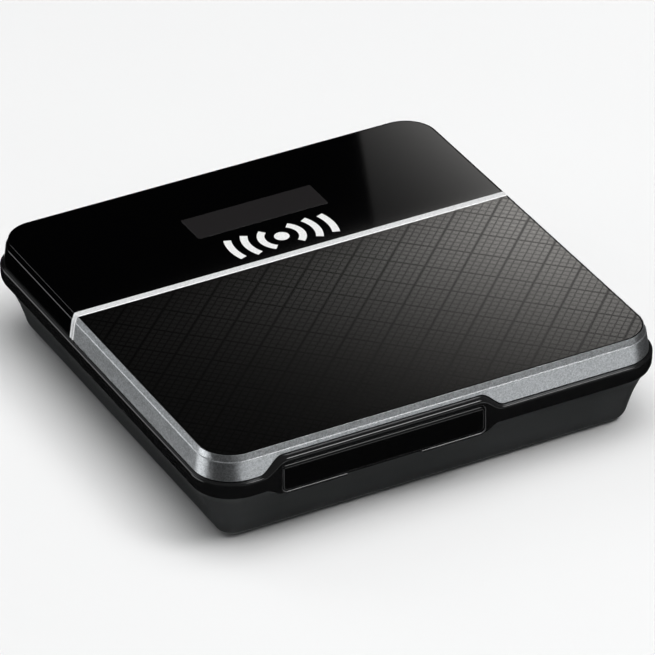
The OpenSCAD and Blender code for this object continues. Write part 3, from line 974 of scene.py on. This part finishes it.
def studio_world(patches, level):
    """Dark room with soft patches: (azimuth from +Y towards +X, half width, softness, in degrees),
    (lowest and highest Z of the direction, softness), brightness."""
    g = Graph("world_nodes")
    world = bpy.data.worlds.new("studio")
    bpy.context.scene.world = world
    world.use_nodes = True
    bpy.data.materials.remove(g.mat)
    g.nt = world.node_tree
    shade = g.nt.nodes["Background"]
    axes = g.axis(g.add("ShaderNodeTexCoord").outputs["Generated"])
    flat = g.math("ADD", g.math("MULTIPLY", axes[0], axes[0]), g.math("MULTIPLY", axes[1], axes[1]))
    flat = g.math("MAXIMUM", g.math("SQRT", flat), 0.001)
    total = None
    for (at, half, soft), (z0, z1, zs), power in patches:
        h = math.radians(at)
        dot_x = g.math("MULTIPLY", axes[0], math.sin(h))
        dot_y = g.math("MULTIPLY", axes[1], math.cos(h))
        dot = g.math("DIVIDE", g.math("ADD", dot_x, dot_y), flat)
        a0 = math.cos(math.radians(min(180, half + soft)))
        a1 = math.cos(math.radians(max(0, half - soft)))
        wide = g.fade(dot, a0, a1, 0, power)
        tall = g.math("MULTIPLY", g.fade(axes[2], z0 - zs, z0 + zs), g.fade(axes[2], z1 - zs, z1 + zs, 1, 0))
        part = g.math("MULTIPLY", wide, tall)
        total = part if total is None else g.math("ADD", total, part)
    g.put(shade.inputs[1], g.math("ADD", total, level))
    shade.inputs[0].default_value = (0.97, 0.99, 1.0, 1)


studio_world(
    [
        ((156, 29, 9), (-0.42, -0.24, 0.04), 1.95),  # in front, seen by the frame's side
        ((156, 60, 15), (-0.06, 0.25, 0.06), 0.04),  # in front, at eye level
        ((-64, 18, 5), (-0.45, 0.25, 0.06), 2.1),  # left, scattered by the frame's left side
        ((-18, 11, 3), (0.48, 0.80, 0.04), 1.9),  # behind, left and above, seen by the crest on the left
        ((8, 10, 3), (0.58, 0.74, 0.03), 0.30),  # behind and above, seen by the ledge on the left
        ((29, 14, 5), (-0.95, -0.25, 0.08), 0.80),  # behind and below, seen at grazing angles
        # A dim room all round, left out only where the lid would mirror it into the camera
        ((207.5, 140, 14), (0.08, 1.2, 0.05), 0.13),
        ((27.5, 40, 14), (0.10, 0.38, 0.03), 0.13),
        ((27.5, 40, 14), (0.68, 1.2, 0.03), 0.13),
    ],
    0.005,
)


def softbox(name, where, target, size, power, glossy=True):
    data = bpy.data.lights.new(name, "AREA")
    data.shape = "RECTANGLE"
    data.size, data.size_y = size
    data.energy = power
    ob = bpy.data.objects.new(name, data)
    bpy.context.scene.collection.objects.link(ob)
    ob.location = where
    ob.rotation_euler = (Vector(target) - Vector(where)).to_track_quat("-Z", "Y").to_euler()
    ob.visible_glossy = glossy
    return ob


softbox("key_top", (0.1, -0.1, 1.5), (0, 0, 0), (1.6, 1.6), 22, False)
softbox("edge_front", (0.57, -0.60, 1.18), (0, 0, 0), (0.5, 0.5), 6.5)
softbox("edge_left", (-0.74, 1.05, 0.55), (0, 0, 0), (0.35, 0.3), 0.7)


def reflected(x, y, reach):
    """Where the camera's mirror ray off the lid's top at (x, y) has got to after reach, in metres."""
    p = Vector((x, y, TOP))
    ray = (p - eye).normalized()
    ray.z = -ray.z
    return (p + ray * reach) * MM


CARD_REACH = 1700.0  # distance from the lid to the cards
UV_SPAN = 100.0  # millimetres across one unit of a card's UV map, which has its middle at 0.5


def lid_card(name, x_of, y_span, terms):
    """Card that the lid mirrors: its brightness is exp(a + bx + cx2 + (d + ex)y) where it shows at
    (x, y)."""
    a, b, c, d, e = terms
    g = Graph(name, "ShaderNodeEmission")
    uv = g.axis(g.coord.outputs["UV"])
    x = g.math("MULTIPLY", g.math("SUBTRACT", uv[0], 0.5), UV_SPAN)
    y = g.math("MULTIPLY", g.math("SUBTRACT", uv[1], 0.5), UV_SPAN)
    power = g.math("ADD", g.math("MULTIPLY", x, b), g.math("MULTIPLY", g.math("MULTIPLY", x, x), c))
    slope = g.math("ADD", g.math("MULTIPLY", x, e), d)
    power = g.math("ADD", g.math("ADD", power, a), g.math("MULTIPLY", y, slope))
    g.bsdf.inputs["Color"].default_value = (1.0, 0.985, 0.965, 1)
    g.put(g.bsdf.inputs["Strength"], g.math("EXPONENT", power))
    g.mat.cycles.emission_sampling = "NONE"
    # A dim far side, hardly lit: it lets fine detail of what mirrors the card outlive the denoiser
    far_side = g.add("ShaderNodeBsdfTranslucent")
    far_side.inputs["Color"].default_value = (0.10, 0.10, 0.10, 1)
    both = g.add("ShaderNodeAddShader")
    g.put(both.inputs[0], g.bsdf.outputs[0])
    g.put(both.inputs[1], far_side.outputs[0])
    g.put(g.nt.nodes["Material Output"].inputs[0], both.outputs[0])
    bm = bmesh.new()
    layer = bm.loops.layers.uv.new("UVMap")
    n = 12
    places = {}
    rows = []
    for j in range(n + 1):
        y = y_span[0] + (y_span[1] - y_span[0]) * j / n
        x0, x1 = x_of(y)
        row = []
        for i in range(n + 1):
            x = x0 + (x1 - x0) * i / n
            v = bm.verts.new(reflected(x, y, CARD_REACH))
            places[v] = (x / UV_SPAN + 0.5, y / UV_SPAN + 0.5)
            row.append(v)
        rows.append(row)
    for ra, rb in zip(rows, rows[1:]):
        for i in range(n):
            bm.faces.new((ra[i], ra[i + 1], rb[i + 1], rb[i]))
    for face in bm.faces:
        for loop in face.loops:
            loop[layer].uv = places[loop.vert]
    ob = finish_mesh(name, bm, g.mat, None)
    ob.visible_camera = False
    ob.visible_shadow = False


# The rear band mirrors a card with a straight slanting edge, and the panel a softer, wider one
lid_card(
    "card_band",
    lambda y: (15.10 + 0.4332 * (y - 10.13), 46.0),
    (9.4, 44.0),
    (-4.02, 0.105, 0.0, 0.0, 0.0),
)
lid_card(
    "card_panel",
    lambda y: (-48.0, 48.0),
    (-46.0, 9.3),
    (-1.16, 0.0655, -0.00043, 0.0440, -0.00060),
)
bpy.context.scene.view_settings.view_transform = "Standard"
